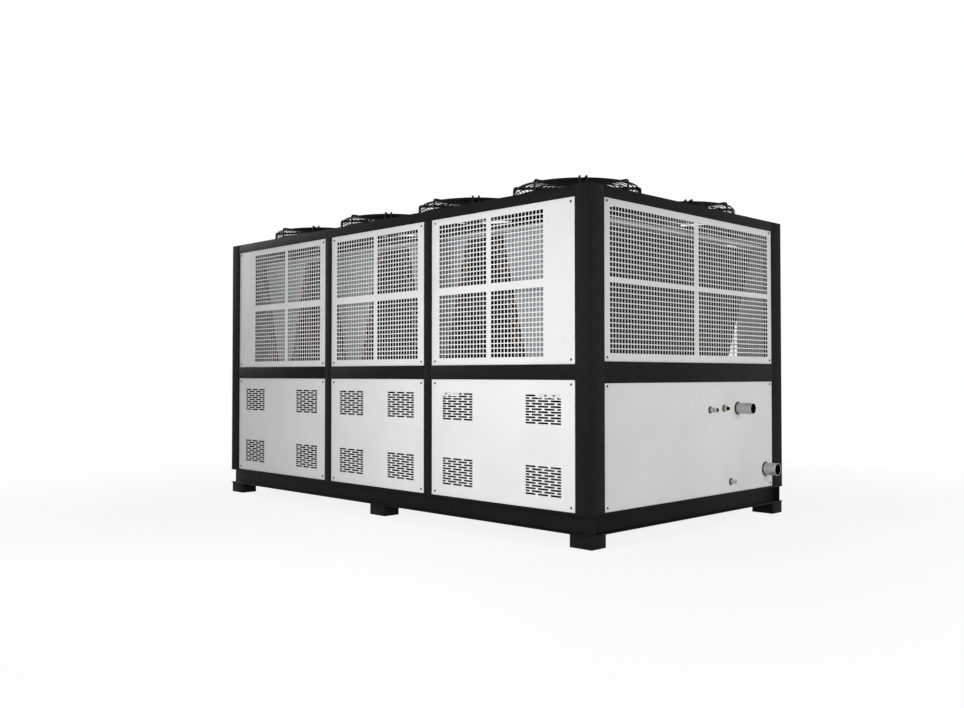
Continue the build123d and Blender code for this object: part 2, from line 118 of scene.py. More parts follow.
class ChillerFans(PropertyGroup):
    collar: length("Collar", "Outer radius of a collar", 0.412)
    collar_wall: length("Collar wall", "Thickness of a collar", 0.008)
    deck_sheet: length("Deck sheet", "Thickness of the deck", 0.004)
    seam: length("Seam", "Gap between two deck sheets", 0.002)
    arm: length("Arm", "Thickness of a guard arm", 0.014)
    wire: length("Wire", "Thickness of a guard ring wire", 0.0075)
    ring_pitch: length("Ring pitch", "Distance between ring wires", 0.027)
    first_ring: length("First ring", "Radius of the inner ring wire", 0.101)
    pair: FloatProperty(name="Pair", description="Half angle of paired arms", default=math.radians(3), subtype="ANGLE")
    plate: length("Plate", "Radius of the plate in the middle of a guard", 0.090)
    motor: length("Motor", "Radius of the motor", 0.080)
    shaft: length("Shaft", "Radius of the motor shaft", 0.012)
    shaft_drop: length("Shaft drop", "Shaft below the motor", 0.040)
    running_gap: length("Running gap", "Between the motor and the hub", 0.006)
    hub_height: length("Hub height", "Height of the rotor hub", 0.046)
    guard_plate: length("Guard plate", "Thickness of the plate under the arms", 0.004)
    hub: length("Hub", "Radius of the rotor hub", 0.095)
    tip: length("Tip", "Radius of the blade tips", 0.394)
    blades: IntProperty(name="Blades", description="Blades on a rotor", default=5)
    root_chord: length("Root chord", "Blade width at the hub", 0.128)
    tip_chord: length("Tip chord", "Blade width at the tip", 0.205)


class ChillerCoils(PropertyGroup):
    top_half: length("Top spread", "Coil from the middle of its pair at the head", 0.346)
    bottom_half: length("Foot spread", "Coil from the middle of its pair at the foot", 0.120)
    thickness: length("Thickness", "Level thickness of a coil", 0.078)
    tube: length("Tube", "Radius of a coil tube", 0.0048)
    tube_pitch: length("Tube pitch", "Between tubes along the coil", 0.0254)
    tube_rows: IntProperty(name="Tube rows", description="Tube rows through a coil", default=3)


class ChillerColours(PropertyGroup):
    frame_coat: colour("Frame", "Powder coat of the frame", (0.0068, 0.0068, 0.007))
    panel_coat: colour("Panels", "Powder coat of the panels", (0.80, 0.80, 0.80))
    deck_coat: colour("Deck", "Powder coat of the deck", (0.012, 0.012, 0.0125))
    wire_coat: colour("Guards", "Coat of the guard wires", (0.008, 0.008, 0.009))
    motor_coat: colour("Motors", "Coat of the motors", (0.03, 0.03, 0.032))
    rotor_metal: colour("Rotors", "Cast metal of the rotors", (0.16, 0.165, 0.17))
    # Near-black fins: painted shade for the coil faces that lie in shadow inside the unit.
    fins_painted_shade: colour("Fins", "Coated fins of the coils", (0.012, 0.012, 0.013))
    zinc: colour("Zinc", "Galvanised sheet", (0.40, 0.41, 0.42))
    copper: colour("Copper", "Return bends of the coils", (0.50, 0.27, 0.14))
    pipe_metal: colour("Pipes", "Satin steel of the stubs", (0.50, 0.50, 0.50))
    # Near-black bore: painted shade inside the open stubs.
    bore_shade_colour: colour("Bore", "Scaled inside of the stubs", (0.004, 0.004, 0.004))
    brass_metal: colour("Brass", "Brass of the relief valve", (0.62, 0.51, 0.24))
    rubber_black: colour("Rubber", "Grommets", (0.006, 0.006, 0.006))
    foam_black: colour("Foam", "Foam inside the lower panels and on the evaporator", (0.01, 0.01, 0.01))
    screw_dark: colour("Screws", "Panel screws", (0.05, 0.05, 0.05))


class ChillerStage(PropertyGroup):
    camera_place: FloatVectorProperty(
        name="Camera", description="Where the camera stands", default=(5.4608, -5.4789, 1.0192), subtype="TRANSLATION"
    )
    camera_turn: FloatProperty(
        name="Turn", description="Turn of the view to the left", default=math.radians(45.35), subtype="ANGLE"
    )
    camera_rise: FloatProperty(
        name="Rise", description="Tilt of the view above level", default=math.radians(1.21), subtype="ANGLE"
    )
    lens: FloatProperty(name="Lens", description="Focal length in millimetres", default=35.9)
    key_power: FloatProperty(name="Key", description="Power of the lamp on the long side", default=88.0)
    end_power: FloatProperty(name="End", description="Power of the lamp on the pipe end", default=98.0)
    back_power: FloatProperty(name="Back", description="Power of the lamps on the unseen sides", default=110.0)
    sky: FloatProperty(name="Sky", description="Strength of the even light from all around", default=0.12)


# Materials

def new_material(name):
    """A node material, its tree, its main shader and a socket with the piece's own coordinates."""
    material = bpy.data.materials.new(name)
    material.use_nodes = True
    tree = material.node_tree
    place = tree.nodes.new("ShaderNodeTexCoord").outputs["Object"]
    return material, tree, tree.nodes["Principled BSDF"], place


def noise(tree, place, scale, detail=3.0, stretch=(1, 1, 1)):
    """A noise pattern, stretched along the axes where asked."""
    mapping = tree.nodes.new("ShaderNodeMapping")
    mapping.inputs["Scale"].default_value = stretch
    texture = tree.nodes.new("ShaderNodeTexNoise")
    texture.inputs["Scale"].default_value = scale
    texture.inputs["Detail"].default_value = detail
    tree.links.new(place, mapping.inputs["Vector"])
    tree.links.new(mapping.outputs["Vector"], texture.inputs["Vector"])
    return texture.outputs["Fac"]


def spread(tree, value, low, high, start=0.3, end=0.7):
    """Maps the middle of a pattern onto a range."""
    node = tree.nodes.new("ShaderNodeMapRange")
    node.inputs["From Min"].default_value = start
    node.inputs["From Max"].default_value = end
    node.inputs["To Min"].default_value = low
    node.inputs["To Max"].default_value = high
    tree.links.new(value, node.inputs["Value"])
    return node.outputs["Result"]


def blend_colours(tree, share, first, second):
    """Mixes two colours by a pattern."""
    node = tree.nodes.new("ShaderNodeMix")
    node.data_type = "RGBA"
    tree.links.new(share, node.inputs["Factor"])
    node.inputs["A"].default_value = (*first, 1)
    node.inputs["B"].default_value = (*second, 1)
    return node.outputs["Result"]


def shade(tone, factor):
    """A colour made darker or lighter."""
    return tuple(min(1.0, channel * factor) for channel in tone)


def add_bump(tree, shader, height, distance, strength=1.0):
    """Raises the surface by a pattern, by a distance in metres."""
    node = tree.nodes.new("ShaderNodeBump")
    node.inputs["Strength"].default_value = strength
    node.inputs["Distance"].default_value = distance
    tree.links.new(height, node.inputs["Height"])
    tree.links.new(node.outputs["Normal"], shader.inputs["Normal"])


def powder_coat(name, tone, roughness, grain=900.0, relief=0.00012, gloss=0.5):
    """Baked powder paint: fine orange peel, faint clouds in tone and gloss."""
    material, tree, shader, place = new_material(name)
    shader.inputs["Specular IOR Level"].default_value = gloss
    clouds = noise(tree, place, 2.6, 4.0)
    tree.links.new(blend_colours(tree, spread(tree, clouds, 0, 1), shade(tone, 0.96), shade(tone, 1.03)),
                   shader.inputs["Base Color"])
    tree.links.new(spread(tree, noise(tree, place, 30.0), roughness - 0.04, roughness + 0.05),
                   shader.inputs["Roughness"])
    add_bump(tree, shader, noise(tree, place, grain, 1.0), relief, 0.5)
    return material


def satin_metal(name, tone, roughness, grain, stretch=(1, 1, 1), tarnish=0.75):
    """Bare metal with drawn marks and a little tarnish."""
    material, tree, shader, place = new_material(name)
    shader.inputs["Metallic"].default_value = 1.0
    marks = noise(tree, place, grain, 2.0, stretch)
    clouds = noise(tree, place, 14.0, 5.0)
    tree.links.new(blend_colours(tree, spread(tree, clouds, 0, 1), shade(tone, tarnish), tone),
                   shader.inputs["Base Color"])
    tree.links.new(spread(tree, marks, roughness - 0.08, roughness + 0.1), shader.inputs["Roughness"])
    add_bump(tree, shader, marks, 0.00006, 0.4)
    return material


def zinc_sheet(name, tone):
    """Galvanised sheet with its spangle."""
    material, tree, shader, place = new_material(name)
    shader.inputs["Metallic"].default_value = 0.3
    cells = tree.nodes.new("ShaderNodeTexVoronoi")
    cells.inputs["Scale"].default_value = 70.0
    tree.links.new(place, cells.inputs["Vector"])
    grey = tree.nodes.new("ShaderNodeRGBToBW")
    tree.links.new(cells.outputs["Color"], grey.inputs["Color"])
    tree.links.new(blend_colours(tree, grey.outputs["Val"], shade(tone, 0.82), shade(tone, 1.08)),
                   shader.inputs["Base Color"])
    tree.links.new(spread(tree, grey.outputs["Val"], 0.52, 0.66, 0, 1), shader.inputs["Roughness"])
    add_bump(tree, shader, noise(tree, place, 40.0), 0.0003, 0.25)
    return material


def fin_block(name, tone):
    """Thin fins on edge across the coil, 2 mm apart, with painted shade in the gaps between them."""
    material, tree, shader, place = new_material(name)
    shader.inputs["Roughness"].default_value = 0.7
    shader.inputs["Specular IOR Level"].default_value = 0.2
    wave = tree.nodes.new("ShaderNodeTexWave")
    wave.bands_direction = "Y"
    wave.inputs["Scale"].default_value = 160.0
    tree.links.new(place, wave.inputs["Vector"])
    # The gaps between fins get a quarter of the fin colour: painted shade between the fins.
    tree.links.new(blend_colours(tree, spread(tree, wave.outputs["Fac"], 0, 1), shade(tone, 0.25), tone),
                   shader.inputs["Base Color"])
    add_bump(tree, shader, wave.outputs["Fac"], 0.001, 0.8)
    return material


def soft_rubber(name, tone):
    material, tree, shader, place = new_material(name)
    shader.inputs["Specular IOR Level"].default_value = 0.06
    pores = noise(tree, place, 420.0)
    tree.links.new(blend_colours(tree, spread(tree, noise(tree, place, 25.0), 0, 1), shade(tone, 0.8), shade(tone, 1.5)),
                   shader.inputs["Base Color"])
    tree.links.new(spread(tree, pores, 0.6, 0.78), shader.inputs["Roughness"])
    add_bump(tree, shader, pores, 0.0001, 0.5)
    return material


MATERIALS = {}


def finish(name):
    """One of the chiller's finishes, made when it is first asked for."""
    if name in MATERIALS:
        return MATERIALS[name]
    tones = bpy.context.scene.chiller_colours
    makers = {
        "frame_black": lambda: powder_coat("frame_coat", tones.frame_coat, 0.6, gloss=0.07),
        "panel_grey": lambda: powder_coat("panel_coat", tones.panel_coat, 0.45, 1100.0, 0.00008, 0.3),
        "deck_black": lambda: powder_coat("deck_coat", tones.deck_coat, 0.6, gloss=0.07),
        "guard_black": lambda: powder_coat("guard_coat", tones.wire_coat, 0.45, 600.0, 0.00005, 0.12),
        "motor_black": lambda: powder_coat("motor_coat", tones.motor_coat, 0.55, 350.0, 0.0002, 0.2),
        "rotor_grey": lambda: satin_metal("rotor_metal", tones.rotor_metal, 0.48, 260.0),
        # The fins take the near-black painted shade colour.
        "coil_fins": lambda: fin_block("coil_fins", tones.fins_painted_shade),
        "galvanised": lambda: zinc_sheet("zinc_sheet", tones.zinc),
        "copper": lambda: satin_metal("copper_tube", tones.copper, 0.42, 180.0, tarnish=0.6),
        "pipe_steel": lambda: satin_metal("pipe_steel", tones.pipe_metal, 0.42, 220.0, (0.15, 1, 1), 0.85),
        # Painted shade: near black for the inside of the open stubs.
        "pipe_bore_painted_shade": lambda: powder_coat("pipe_bore_painted_shade", tones.bore_shade_colour, 0.8, 300.0, 0.0003, 0.05),
        # Near-black tube sheets: painted shade at the coil ends, in the fins' colour.
        "tube_sheets_painted_shade": lambda: powder_coat("tube_sheets_painted_shade", tones.fins_painted_shade, 0.8, 300.0, 0.0003, 0.05),
        "brass": lambda: satin_metal("valve_brass", tones.brass_metal, 0.3, 240.0, tarnish=0.8),
        "rubber": lambda: soft_rubber("grommet_rubber", tones.rubber_black),
        "foam": lambda: soft_rubber("lining_foam", tones.foam_black),
        "screw": lambda: satin_metal("screw_steel", tones.screw_dark, 0.45, 500.0),
    }
    MATERIALS[name] = makers[name]()
    return MATERIALS[name]


# Mesh tools

def add_piece(name, bm, finishes, body=HOUSING, stands_for=(), crease=32, solid=True):
    """Turns a mesh into a piece that rides on its body, smooth up to a crease angle."""
    if solid:
        bmesh.ops.recalc_face_normals(bm, faces=bm.faces[:])
    limit = math.radians(crease)
    for face in bm.faces:
        face.smooth = True
    for edge in bm.edges:
        edge.smooth = edge.is_manifold and edge.calc_face_angle(math.pi) < limit
    mesh = bpy.data.meshes.new(name)
    bm.to_mesh(mesh)
    bm.free()
    for entry in finishes:
        mesh.materials.append(finish(entry))
    piece = bpy.data.objects.new(name, mesh)
    bpy.context.scene.collection.objects.link(piece)
    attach(piece, body)
    if stands_for:
        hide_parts(*stands_for)
    return piece


def bridge(bm, lower, upper, closed=True, material=0):
    """Faces between two rows of points. A row of one point closes to a tip."""
    count = max(len(lower), len(upper))
    for i in range(count if closed else count - 1):
        j = (i + 1) % count
        if len(lower) == 1:
            corners = (lower[0], upper[j], upper[i])
        elif len(upper) == 1:
            corners = (lower[i], lower[j], upper[0])
        else:
            corners = (lower[i], lower[j], upper[j], upper[i])
        bm.faces.new(corners).material_index = material


def lathe(bm, profile, place, segments=32, closed=False, materials=None):
    """Turns points of radius and height about the Z axis of a place."""
    rows = []
    for radius, height in profile:
        if radius < 1e-7:
            rows.append([bm.verts.new(place @ Vector((0, 0, height)))])
            continue
        angles = [2 * math.pi * i / segments for i in range(segments)]
        rows.append([bm.verts.new(place @ Vector((radius * math.cos(a), radius * math.sin(a), height)))
                     for a in angles])
    pairs = list(zip(rows, rows[1:]))
    if closed:
        pairs.append((rows[-1], rows[0]))
    for i, (lower, upper) in enumerate(pairs):
        bridge(bm, lower, upper, material=materials[i] if materials else 0)


def tube(bm, points, radius, sides=8, closed=False):
    """A round wire along a path."""
    rows = []
    count = len(points)
    across = None
    for i, point in enumerate(points):
        before = points[i - 1] if closed or i else point
        after = points[(i + 1) % count] if closed or i < count - 1 else point
        along = (after - before).normalized()
        across = across or along.orthogonal()
        across = (across - along * across.dot(along)).normalized()
        other = along.cross(across)
        angles = [2 * math.pi * k / sides for k in range(sides)]
        rows.append([bm.verts.new(point + radius * (math.cos(a) * across + math.sin(a) * other)) for a in angles])
    for lower, upper in zip(rows, rows[1:]):
        bridge(bm, lower, upper)
    if closed:
        bridge(bm, rows[-1], rows[0])
    else:
        bm.faces.new(list(reversed(rows[0])))
        bm.faces.new(rows[-1])


def circle(centre, radius, count, start=0.0):
    """Points round a level circle."""
    angles = [start + 2 * math.pi * i / count for i in range(count)]
    return [centre + Vector((radius * math.cos(a), radius * math.sin(a), 0)) for a in angles]


def block(bm, low, high, place=Matrix()):
    """A bar between two corners."""
    corners = [Vector((x, y, z)) for z in (low[2], high[2]) for x, y in
               ((low[0], low[1]), (high[0], low[1]), (high[0], high[1]), (low[0], high[1]))]
    points = [bm.verts.new(place @ corner) for corner in corners]
    bm.faces.new(reversed(points[:4]))
    bm.faces.new(points[4:])
    bridge(bm, points[:4], points[4:])


def soften(bm, radius, segments=2, angle=30):
    """Rounds the sharp edges of a solid mesh."""
    limit = math.radians(angle)
    edges = [e for e in bm.edges if e.is_manifold and e.calc_face_angle(0) > limit]
    bmesh.ops.bevel(bm, geom=edges, offset=radius, segments=segments, profile=0.5, affect="EDGES",
                    clamp_overlap=True)


def softened_copy(node, radius, finish_name, name=None):
    """A CAD node with rounded edges, in its place."""
    bm = bmesh.new()
    bm.from_mesh(frame["nodes"][node].data)
    bmesh.ops.remove_doubles(bm, verts=bm.verts[:], dist=1e-5)
    bmesh.ops.dissolve_limit(bm, angle_limit=math.radians(1), verts=bm.verts[:], edges=bm.edges[:])
    soften(bm, radius)
    return add_piece(name or f"painted_{node}", bm, [finish_name], stands_for=[node])


def dress_node(node, finish_name):
    """Gives a CAD node that stays its finish."""
    piece = frame["nodes"][node]
    piece.data.materials.clear()
    piece.data.materials.append(finish(finish_name))


# Sheet panels, drawn in X and Z with the face looking along -Y

def panel_place(node, side):
    """Where a panel's face is, with its width and its lower and upper edge."""
    low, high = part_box(node)
    turn = Matrix.Rotation(math.radians(PANEL_TURN[side]), 4, "Z")
    out = turn @ Vector((0, -1, 0))
    size = high - low
    depth = abs(out.dot(size))
    width = abs((turn @ Vector((1, 0, 0))).dot(size))
    middle = (low + high) / 2 + out * depth / 2
    place = Matrix.Translation((middle.x, middle.y, 0)) @ turn
    return place, width, low.z, high.z, depth


def fold_edges(bm, rim, signs, bend, depth):
    """Rolls the rim of a flat sheet back into a flange."""
    steps = 3
    turns = [math.pi / 2 * k / steps for k in range(1, steps + 1)]
    offsets = [(bend * math.sin(t), bend * (1 - math.cos(t))) for t in turns] + [(bend, depth)]
    base = [vert.co.copy() for vert in rim]
    last = rim
    for out, back in offsets:
        row = [bm.verts.new(point + Vector((sx * out, back, sz * out)))
               for point, (sx, sz) in zip(base, signs)]
        for i in range(len(rim)):
            j = (i + 1) % len(rim)
            bm.faces.new((last[j], last[i], row[i], row[j]))
        last = row


def field_lines(starts, count, pitch, hole, low, high):
    """Grid lines of the hole cells of several fields, and which cells hold a hole."""
    lines = [low]
    marks = [False]
    for start in starts:
        first = start - (count * pitch) / 2
        lines += [first + k * pitch for k in range(count + 1)]
        marks += [True] * count + [False]
    lines.append(high)
    return lines, marks


def perforated_face(bm, x_lines, x_marks, z_lines, z_marks, hole, corner):
    """A flat sheet with a square hole in each marked cell, and its rim in order."""
    grid = [[bm.verts.new((x, 0, z)) for x in x_lines] for z in z_lines]
    half = hole / 2
    near = half - corner
    shape = ((-half, -near), (-near, -half), (near, -half), (half, -near),
             (half, near), (near, half), (-near, half), (-half, near))
    for j in range(len(z_lines) - 1):
        for i in range(len(x_lines) - 1):
            cell = (grid[j][i], grid[j][i + 1], grid[j + 1][i + 1], grid[j + 1][i])
            if not (x_marks[i] and z_marks[j]):
                bm.faces.new(cell)
                continue
            middle = (cell[0].co + cell[2].co) / 2
            edge = [bm.verts.new((middle.x + x, 0, middle.z + z)) for x, z in shape]
            for k in range(4):
                bm.faces.new((cell[k], cell[(k + 1) % 4], edge[(2 * k + 2) % 8], edge[2 * k + 1]))
                bm.faces.new((cell[k], edge[2 * k + 1], edge[2 * k]))
    columns = len(x_lines) - 1
    rows = len(z_lines) - 1
    order = [(i, 0) for i in range(columns)] + [(columns, j) for j in range(rows)]
    order += [(i, rows) for i in range(columns, 0, -1)] + [(0, j) for j in range(rows, 0, -1)]
    rim = [grid[j][i] for i, j in order]
    signs = [((i == columns) - (i == 0), (j == rows) - (j == 0)) for i, j in order]
    return rim, signs


def cut_face(bm, half, low, high, loops):
    """A flat sheet with free-form holes, and its rim in order."""
    corners = ((-half, low), (half, low), (half, high), (-half, high))
    rim = [bm.verts.new((x, 0, z)) for x, z in corners]
    edges = [bm.edges.new((rim[k], rim[(k + 1) % 4])) for k in range(4)]
    for loop in loops:
        points = [bm.verts.new((x, 0, z)) for x, z in loop]
        edges += [bm.edges.new((points[k], points[(k + 1) % len(points)])) for k in range(len(points))]
    bmesh.ops.triangle_fill(bm, use_beauty=True, use_dissolve=False, edges=edges, normal=(0, -1, 0))
    for face in bm.faces:
        face.normal_update()
        if face.normal.y > 0:
            face.normal_flip()
    return rim, ((-1, -1), (1, -1), (1, 1), (-1, 1))


def add_sheet(name, bm, place, sheet, node, lined=False):
    """A folded sheet panel in its place, with its real thickness, and foam on its back where asked."""
    finishes = ["panel_grey", "foam"] if lined else ["panel_grey"]
    piece = add_piece(name, bm, finishes, stands_for=[node], solid=False, crease=40)
    piece.data.transform(place)
    wall = piece.modifiers.new("sheet", "SOLIDIFY")
    wall.thickness = sheet
    wall.offset = -1
    wall.material_offset = 1 if lined else 0
    return piece


def grille_panel(name, node, side, columns, field_pitch, offset, heights):
    """An upper panel with its fields of square holes."""
    sizes = bpy.context.scene.chiller_panels
    place, width, low, high, depth = panel_place(node, side)
    inset = sizes.bend
    middles = [offset - field_pitch / 2, offset + field_pitch / 2]
    x_lines, x_marks = field_lines(middles, columns, sizes.column_pitch, sizes.hole, -width / 2 + inset,
                                   width / 2 - inset)
    z_lines, z_marks = field_lines(heights, sizes.rows, sizes.row_pitch, sizes.hole, low + inset, high - inset)
    bm = bmesh.new()
    rim, signs = perforated_face(bm, x_lines, x_marks, z_lines, z_marks, sizes.hole, sizes.hole_corner)
    fold_edges(bm, rim, signs, sizes.bend, depth)
    return add_sheet(name, bm, place, sizes.sheet, node)


def slot_loop(x0, x1, z, half):
    """A slot with round ends."""
    steps = 4
    right = [(x1 - half + half * math.sin(math.pi * k / steps), z - half * math.cos(math.pi * k / steps))
             for k in range(steps + 1)]
    left = [(x0 + half - half * math.sin(math.pi * k / steps), z + half * math.cos(math.pi * k / steps))
            for k in range(steps + 1)]
    return right + left


def vent_loops(x, z, sizes):
    """Slots in brick bond about the middle of a vent."""
    pitch = sizes.slot_length + sizes.slot_gap
    full = 3 * sizes.slot_length + 2 * sizes.slot_gap
    left = x - full / 2
    loops = []
    for row in range(sizes.slot_rows):
        height = z + (row - (sizes.slot_rows - 1) / 2) * sizes.slot_pitch
        shift = 0 if row % 2 == 0 else -pitch / 2
        for k in range(4):
            start = max(shift + k * pitch, 0)
            end = min(shift + k * pitch + sizes.slot_length, full)
            if end - start > 2 * sizes.slot_height:
                loops.append(slot_loop(left + start, left + end, height, sizes.slot_height / 2))
    return loops


def cut_panel(name, node, side, loops):
    """A lower panel with its openings."""
    sizes = bpy.context.scene.chiller_panels
    place, width, low, high, depth = panel_place(node, side)
    bm = bmesh.new()
    rim, signs = cut_face(bm, width / 2 - sizes.bend, low + sizes.bend, high - sizes.bend, loops)
    fold_edges(bm, rim, signs, sizes.bend, depth)
    return add_sheet(name, bm, place, sizes.sheet, node, lined=True)


def screw(bm, place, radius):
    """A low flanged head with a socket."""
    flange = radius * 1.25
    lathe(bm, [(flange, 0), (flange, radius * 0.14), (radius * 0.95, radius * 0.3), (radius * 0.85, radius * 0.62),
               (radius * 0.6, radius * 0.72), (radius * 0.45, radius * 0.7), (radius * 0.4, radius * 0.3),
               (0, radius * 0.3)], place, 12)


def panel_nodes():
    """Every panel node with the side that it closes."""
    for side in ("front", "rear"):
        for place in SIDE_PLACES:
            yield f"{side}_{place}_grille_panel", side
            yield f"{side}_{place}_vent_panel", side
    for side in ("blank_end", "pipe_end"):
        yield f"{side}_grille_panel", side
        yield f"{side}_lower_panel", side


class CHILLER_OT_frame(Operator):
    """Coats the base, posts and rails and rounds their edges"""
    bl_idname = "chiller.frame"
    bl_label = "Frame"

    def execute(self, context):
        for node in FRAME_NODES:
            softened_copy(node, 0.0015, "frame_black")
        return {"FINISHED"}


class CHILLER_OT_grille_panels(Operator):
    """Makes the eight upper panels with their square holes"""
    bl_idname = "chiller.grille_panels"
    bl_label = "Grille panels"

    def execute(self, context):
        sizes = context.scene.chiller_panels
        for side in ("front", "rear"):
            towards = -1 if side == "front" else 1
            for place, number in SIDE_PLACES.items():
                node = f"{side}_{place}_grille_panel"
                grille_panel(f"{side}_{place}_grille", node, side, sizes.side_columns, sizes.side_field_pitch,
                             towards * number * sizes.outer_offset, (sizes.side_lower, sizes.side_upper))
        for side in ("blank_end", "pipe_end"):
            grille_panel(f"{side}_grille", f"{side}_grille_panel", side, sizes.end_columns, sizes.end_field_pitch,
                         0.0, (sizes.end_lower, sizes.end_upper))
        return {"FINISHED"}


class CHILLER_OT_lower_panels(Operator):
    """Makes the slotted lower side panels and the plain lower end panels"""
    bl_idname = "chiller.lower_panels"
    bl_label = "Lower panels"

    def execute(self, context):
        sizes = context.scene.chiller_panels
        for side in ("front", "rear"):
            for place, number in SIDE_PLACES.items():
                across = sizes.outer_spread if number else sizes.middle_spread
                loops = [loop for x in (-across, across) for z in (sizes.vent_lower, sizes.vent_upper)
                         for loop in vent_loops(x, z, sizes)]
                cut_panel(f"{side}_{place}_vents", f"{side}_{place}_vent_panel", side, loops)
        cut_panel("blank_end_lower_sheet", "blank_end_lower_panel", "blank_end", [])
        loops = []
        for node in ("water_outlet", "water_inlet", "refill_stub", "relief_valve", "drain_stub"):
            y, z, radius, _, _ = stub_line(node)
            reach = radius + 0.0042
            points = circle(Vector((y, z, 0)), reach, 32)
            loops.append([(point.x, point.y) for point in points])
        cut_panel("pipe_end_lower_sheet", "pipe_end_lower_panel", "pipe_end", loops)
        return {"FINISHED"}


class CHILLER_OT_screws(Operator):
    """Sets four screws into each panel"""
    bl_idname = "chiller.screws"
    bl_label = "Panel screws"

    def execute(self, context):
        sizes = context.scene.chiller_panels
        bm = bmesh.new()
        outwards = Matrix.Rotation(math.pi / 2, 4, "X")
        for node, side in panel_nodes():
            place, width, low, high, _ = panel_place(node, side)
            is_end = side.endswith("end")
            inset = sizes.screw_end if is_end else sizes.screw_side
            top = high - (sizes.screw_end_top if is_end else sizes.screw_side_height)
            foot = low + (sizes.screw_end_low if is_end else sizes.screw_side_height)
            for x in (-width / 2 + inset, width / 2 - inset):
                for z in (foot, top):
                    screw(bm, place @ Matrix.Translation((x, 0, z)) @ outwards, sizes.screw_head)
        add_piece("panel_screws", bm, ["screw"])
        return {"FINISHED"}


# Deck and fans

def deck_tile(bm, low, high, axis, radius, z, sheet):
    """One deck sheet with the opening of its fan."""
    count = 64
    rows = []
    for height in (z - sheet, z):
        corners = [Vector((low[0], low[1], height)), Vector((high[0], low[1], height)),
                   Vector((high[0], high[1], height)), Vector((low[0], high[1], height))]
        outer = [bm.verts.new(corner) for corner in corners]
        inner = [bm.verts.new(point) for point in circle(Vector((axis.x, axis.y, height)), radius, count)]
        edges = [bm.edges.new((outer[k], outer[(k + 1) % 4])) for k in range(4)]
        edges += [bm.edges.new((inner[k], inner[(k + 1) % count])) for k in range(count)]
        bmesh.ops.triangle_fill(bm, use_beauty=True, use_dissolve=False, edges=edges, normal=(0, 0, 1))
        rows.append((outer, inner))
    bridge(bm, rows[0][0], rows[1][0])
    bridge(bm, rows[0][1], rows[1][1])


def bolt(bm, point, radius):
    """A hex head on a washer, upright."""
    place = Matrix.Translation(point)
    lathe(bm, [(radius * 1.5, 0), (radius * 1.5, radius * 0.2), (0, radius * 0.2)], place, 14)
    lathe(bm, [(radius, radius * 0.2), (radius, radius * 0.8), (radius * 0.85, radius * 0.95), (0, radius * 0.95)],
          place, 6)


class CHILLER_OT_deck(Operator):
    """Makes the deck sheets, the rolled collars and the bolts that hold them"""
    bl_idname = "chiller.deck"
    bl_label = "Deck"

    def execute(self, context):
        fans = context.scene.chiller_fans
        low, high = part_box("top_deck")
        top = low.z + fans.deck_sheet
        inner = fans.collar - fans.collar_wall
        xs = sorted({round(axis.x, 6) for axis in FAN_AXES})
        cuts = [low.x] + [(a + b) / 2 for a, b in zip(xs, xs[1:])] + [high.x]
        bm = bmesh.new()
        for axis in FAN_AXES:
            k = xs.index(round(axis.x, 6))
            y0, y1 = (low.y, -fans.seam / 2) if axis.y < 0 else (fans.seam / 2, high.y)
            x0 = cuts[k] + (fans.seam / 2 if k else 0)
            x1 = cuts[k + 1] - (fans.seam / 2 if k < len(xs) - 1 else 0)
            deck_tile(bm, (x0, y0), (x1, y1), axis, inner, top, fans.deck_sheet)
            lip = high.z
            ring = [(inner, top - fans.deck_sheet), (inner, lip - 0.005), (inner + 0.0015, lip - 0.0015),
                    (inner + 0.004, lip), (fans.collar - 0.0015, lip - 0.0015), (fans.collar, lip - 0.005),
                    (fans.collar, lip - 0.009), (fans.collar - 0.004, lip - 0.012), (fans.collar - 0.004, top + 0.008),
                    (fans.collar - 0.001, top + 0.003), (fans.collar + 0.006, top + 0.002),
                    (fans.collar + 0.006, top), (inner, top)]
            lathe(bm, ring, Matrix.Translation((axis.x, axis.y, 0)), 72)
            edge = 0.03
            for x in (x0 + edge, (x0 + x1) / 2, x1 - edge):
                for y in (y0 + edge, y1 - edge):
                    bolt(bm, Vector((x, y, top)), 0.0055)
        add_piece("deck_and_collars", bm, ["deck_black"], stands_for=["top_deck"])
        return {"FINISHED"}


def guard_arm(bm, axis, angle, fans, top, foot, rim):
    """A thick wire from the middle over the rings, bent down at the rim to the deck."""
    out = Vector((math.cos(angle), math.sin(angle), 0))
    radius = fans.arm / 2
    level = top - radius
    bend = 0.016
    centre = Vector((axis.x, axis.y, 0))
    steps = 5
    points = [centre + out * (fans.plate * 0.45) + Vector((0, 0, level))]
    points.append(centre + out * ((fans.plate + rim) / 2) + Vector((0, 0, level)))
    for k in range(steps + 1):
        t = math.pi / 2 * k / steps
        points.append(centre + out * (rim - radius - bend + bend * math.sin(t))
                      + Vector((0, 0, level - bend + bend * math.cos(t))))
    points.append(centre + out * (rim - radius) + Vector((0, 0, foot)))
    tube(bm, points, radius, 8)


def arm_angles(fans):
    """Single arms on the axes and pairs between them."""
    singles = [math.radians(90 * k) for k in range(4)]
    middles = [math.radians(45 + 90 * k) for k in range(4)]
    return singles + [m + s * fans.pair for m in middles for s in (-1, 1)]


